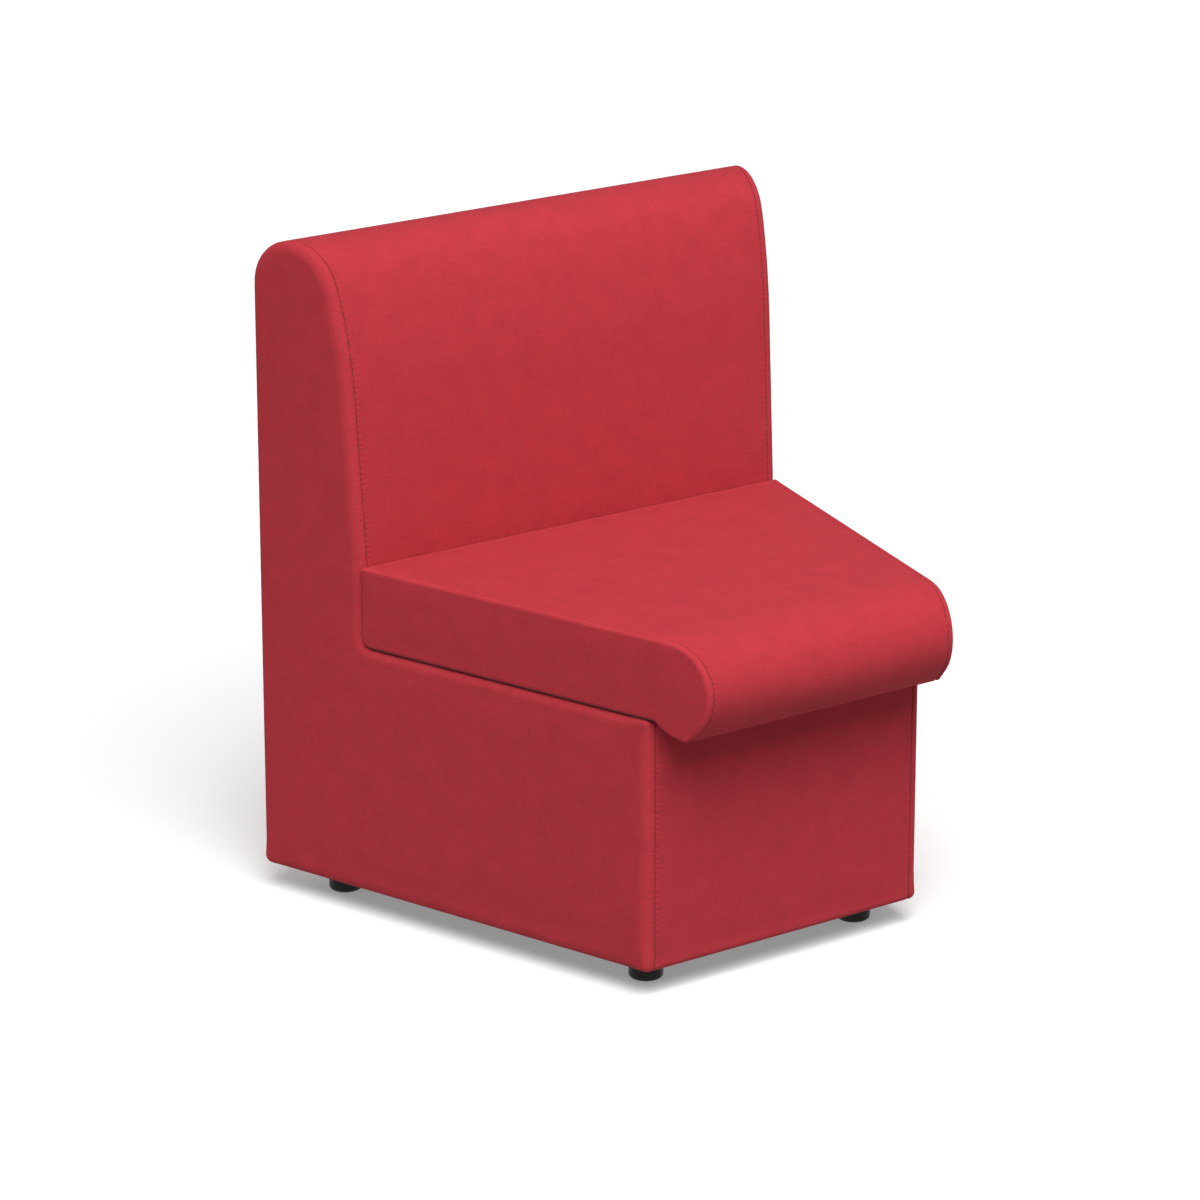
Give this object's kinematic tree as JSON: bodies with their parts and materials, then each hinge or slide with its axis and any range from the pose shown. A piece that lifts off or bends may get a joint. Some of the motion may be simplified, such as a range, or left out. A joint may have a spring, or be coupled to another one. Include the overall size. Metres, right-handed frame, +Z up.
{
  "type": "upholstered reception seat, wedge unit",
  "caption": "Armless upholstered reception seat, a wedge unit wide at the back, with a rounded high back and a seat cushion whose nose rolls over the base, on low levelling feet.",
  "frame": {"origin": "on the floor, under the middle of the seat's box", "axes": "+Z up, +Y towards the rear face, +X to the right of someone who looks at the seat's front"},
  "size_m": [0.727, 0.6712, 0.8345],
  "materials": {
    "seat_cloth": "red plain woven upholstery cloth, matt with a faint sheen",
    "lining_cloth": "black bonded lining cloth",
    "foam": "cream cut upholstery foam",
    "ply": "birch plywood, bare",
    "pad_nylon": "black moulded nylon, semi-gloss",
    "zinc_steel": "zinc-plated steel"
  },
  "bodies": {
    "seat": {"back_board": "ply", "back_cover": "seat_cloth", "back_foam": "foam", "back_foot_rail": "ply", "back_rib": "ply", "carcass_screws": "zinc_steel", "centre_rib": "ply", "deck_board": "ply", "deck_cloth": "lining_cloth", "dust_cover": "lining_cloth", "foot_blocks": "ply", "foot_tee_nuts": "zinc_steel", "front_board": "ply", "front_cover": "seat_cloth", "front_foam": "foam", "rear_board": "ply", "rear_foam": "foam", "seat_board": "ply", "seat_bolts": "zinc_steel", "seat_bottom_cloth": "lining_cloth", "seat_foam": "foam", "seat_side_cover_left": "seat_cloth", "seat_side_cover_right": "seat_cloth", "seat_tee_nuts": "zinc_steel", "seat_top_cover": "seat_cloth", "seat_washers": "zinc_steel", "side_board_left": "ply", "side_board_right": "ply", "side_cover_left": "seat_cloth", "side_cover_right": "seat_cloth", "side_foam_left": "foam", "side_foam_right": "foam", "top_rail": "ply"},
    "foot_front_left": {"foot_pad_front_left": "pad_nylon"},
    "stem_front_left": {"foot_stem_front_left": "zinc_steel"},
    "foot_front_right": {"foot_pad_front_right": "pad_nylon"},
    "stem_front_right": {"foot_stem_front_right": "zinc_steel"},
    "foot_rear_left": {"foot_pad_rear_left": "pad_nylon"},
    "stem_rear_left": {"foot_stem_rear_left": "zinc_steel"},
    "foot_rear_right": {"foot_pad_rear_right": "pad_nylon"},
    "stem_rear_right": {"foot_stem_rear_right": "zinc_steel"}
  },
  "joints": [
    {"name": "front_left_height", "type": "slide", "parent": "seat", "child": "foot_front_left", "axis": [0, 0, -1], "range_m": [0, 0.0105]},
    {"name": "front_left_turn", "type": "hinge", "parent": "foot_front_left", "child": "stem_front_left", "pos_m": [-0.15971, -0.18535, 0.03], "axis": [0, 0, -1], "range_deg": [0, 2880]},
    {"name": "front_right_height", "type": "slide", "parent": "seat", "child": "foot_front_right", "axis": [0, 0, -1], "range_m": [0, 0.0105]},
    {"name": "front_right_turn", "type": "hinge", "parent": "foot_front_right", "child": "stem_front_right", "pos_m": [0.15971, -0.18535, 0.03], "axis": [0, 0, -1], "range_deg": [0, 2880]},
    {"name": "rear_left_height", "type": "slide", "parent": "seat", "child": "foot_rear_left", "axis": [0, 0, -1], "range_m": [0, 0.0105]},
    {"name": "rear_left_turn", "type": "hinge", "parent": "foot_rear_left", "child": "stem_rear_left", "pos_m": [-0.28216, 0.27165, 0.03], "axis": [0, 0, -1], "range_deg": [0, 2880]},
    {"name": "rear_right_height", "type": "slide", "parent": "seat", "child": "foot_rear_right", "axis": [0, 0, -1], "range_m": [0, 0.0105]},
    {"name": "rear_right_turn", "type": "hinge", "parent": "foot_rear_right", "child": "stem_rear_right", "pos_m": [0.28216, 0.27165, 0.03], "axis": [0, 0, -1], "range_deg": [0, 2880]}
  ],
  "couplings": [
    {"joint": "front_left_height", "follows": "front_left_turn", "m_per_rad": 0.0001989},
    {"joint": "front_right_height", "follows": "front_right_turn", "m_per_rad": 0.0001989},
    {"joint": "rear_left_height", "follows": "rear_left_turn", "m_per_rad": 0.0001989},
    {"joint": "rear_right_height", "follows": "rear_right_turn", "m_per_rad": 0.0001989}
  ]
}
